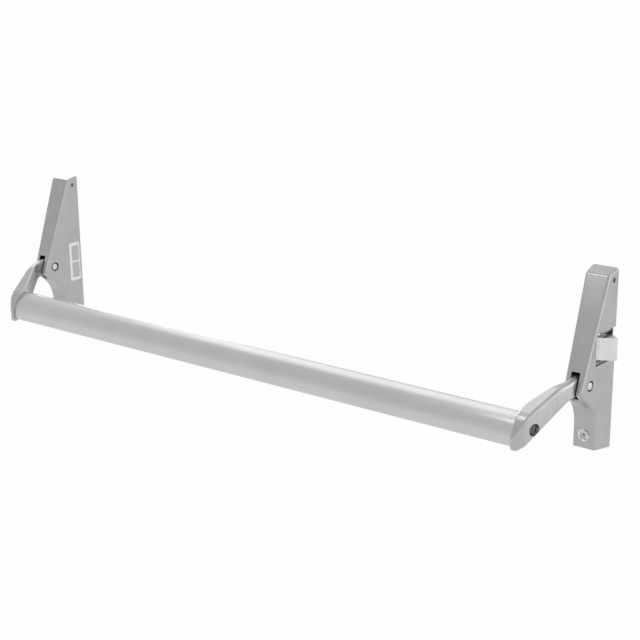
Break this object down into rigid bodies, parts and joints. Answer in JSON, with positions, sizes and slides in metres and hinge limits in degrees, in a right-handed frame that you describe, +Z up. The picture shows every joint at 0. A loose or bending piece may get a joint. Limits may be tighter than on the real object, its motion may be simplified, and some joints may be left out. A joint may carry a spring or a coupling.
{
  "type": "crossbar exit device",
  "caption": "Panic exit device: a hollow push bar on two cranked arms pivots between two hollow door heads, and one head draws in a swinging side latch.",
  "frame": {"origin": "middle of the active head's two door screws, on the door's face", "axes": "+X along the bar from the inactive head to the active one and on to the latch, +Y into the door, +Z up"},
  "size_m": [0.9164, 0.1509, 0.216],
  "materials": {
    "cast_aluminium": "satin, fine brushed",
    "arm_aluminium": "satin, polished on the shoulders",
    "drawn_aluminium": "satin, brushed lengthways",
    "plated_steel": "dull zinc plate",
    "bright_steel": "turned, bright",
    "bolt_steel": "ground, bright",
    "spring_steel": "plain wire",
    "screw_steel": "plain, lightly oiled",
    "label_film": "matt film"
  },
  "bodies": {
    "heads": {"active_case": "cast_aluminium", "active_chassis": "plated_steel", "active_pivot_pin": "bright_steel", "active_pivot_washers": "plated_steel", "active_guide_rod": "bright_steel", "latch_pin": "bright_steel", "latch_spring": "spring_steel", "active_return_spring": "spring_steel", "inactive_case": "cast_aluminium", "inactive_chassis": "plated_steel", "inactive_pivot_pin": "bright_steel", "inactive_pivot_washers": "plated_steel", "inactive_guide_rod": "bright_steel", "inactive_return_spring": "spring_steel", "cover_screws": "screw_steel", "data_label": "label_film"},
    "bar": {"push_bar": "drawn_aluminium", "active_arm": "arm_aluminium", "inactive_arm": "arm_aluminium", "active_bar_plug": "plated_steel", "inactive_bar_plug": "plated_steel", "arm_screws": "screw_steel"},
    "lifter": {"lifter": "plated_steel"},
    "plunger": {"plunger": "plated_steel"},
    "latch": {"latch_bolt": "bolt_steel"},
    "dogging": {"dogging_screw": "bright_steel", "dogging_cam": "plated_steel"}
  },
  "joints": [
    {"name": "bar_hinge", "type": "hinge", "parent": "heads", "child": "bar", "pos_m": [0, -0.0494, -0.0193], "axis": [1, 0, 0], "range_deg": [0, 20], "stiffness_Nm_per_rad": 3, "springref_deg": -25.78},
    {"name": "lifter_slide", "type": "slide", "parent": "heads", "child": "lifter", "axis": [0, 0, 1], "range_m": [0, 0.00845], "deforming": ["active_return_spring"]},
    {"name": "plunger_slide", "type": "slide", "parent": "heads", "child": "plunger", "axis": [0, 0, 1], "range_m": [0, 0.00845], "deforming": ["inactive_return_spring"]},
    {"name": "latch_hinge", "type": "hinge", "parent": "heads", "child": "latch", "pos_m": [0.0094, -0.033, 0.0215], "axis": [0, 0, 1], "range_deg": [0, 60]},
    {"name": "dogging_turn", "type": "hinge", "parent": "heads", "child": "dogging", "pos_m": [0, -0.03, -0.086], "axis": [0, -1, 0], "range_deg": [0, 90]}
  ],
  "couplings": [
    {"joint": "lifter_slide", "follows": "bar_hinge", "m_per_rad": 0.0242},
    {"joint": "plunger_slide", "follows": "bar_hinge", "m_per_rad": 0.0242},
    {"joint": "latch_hinge", "follows": "bar_hinge", "ratio": 3}
  ]
}
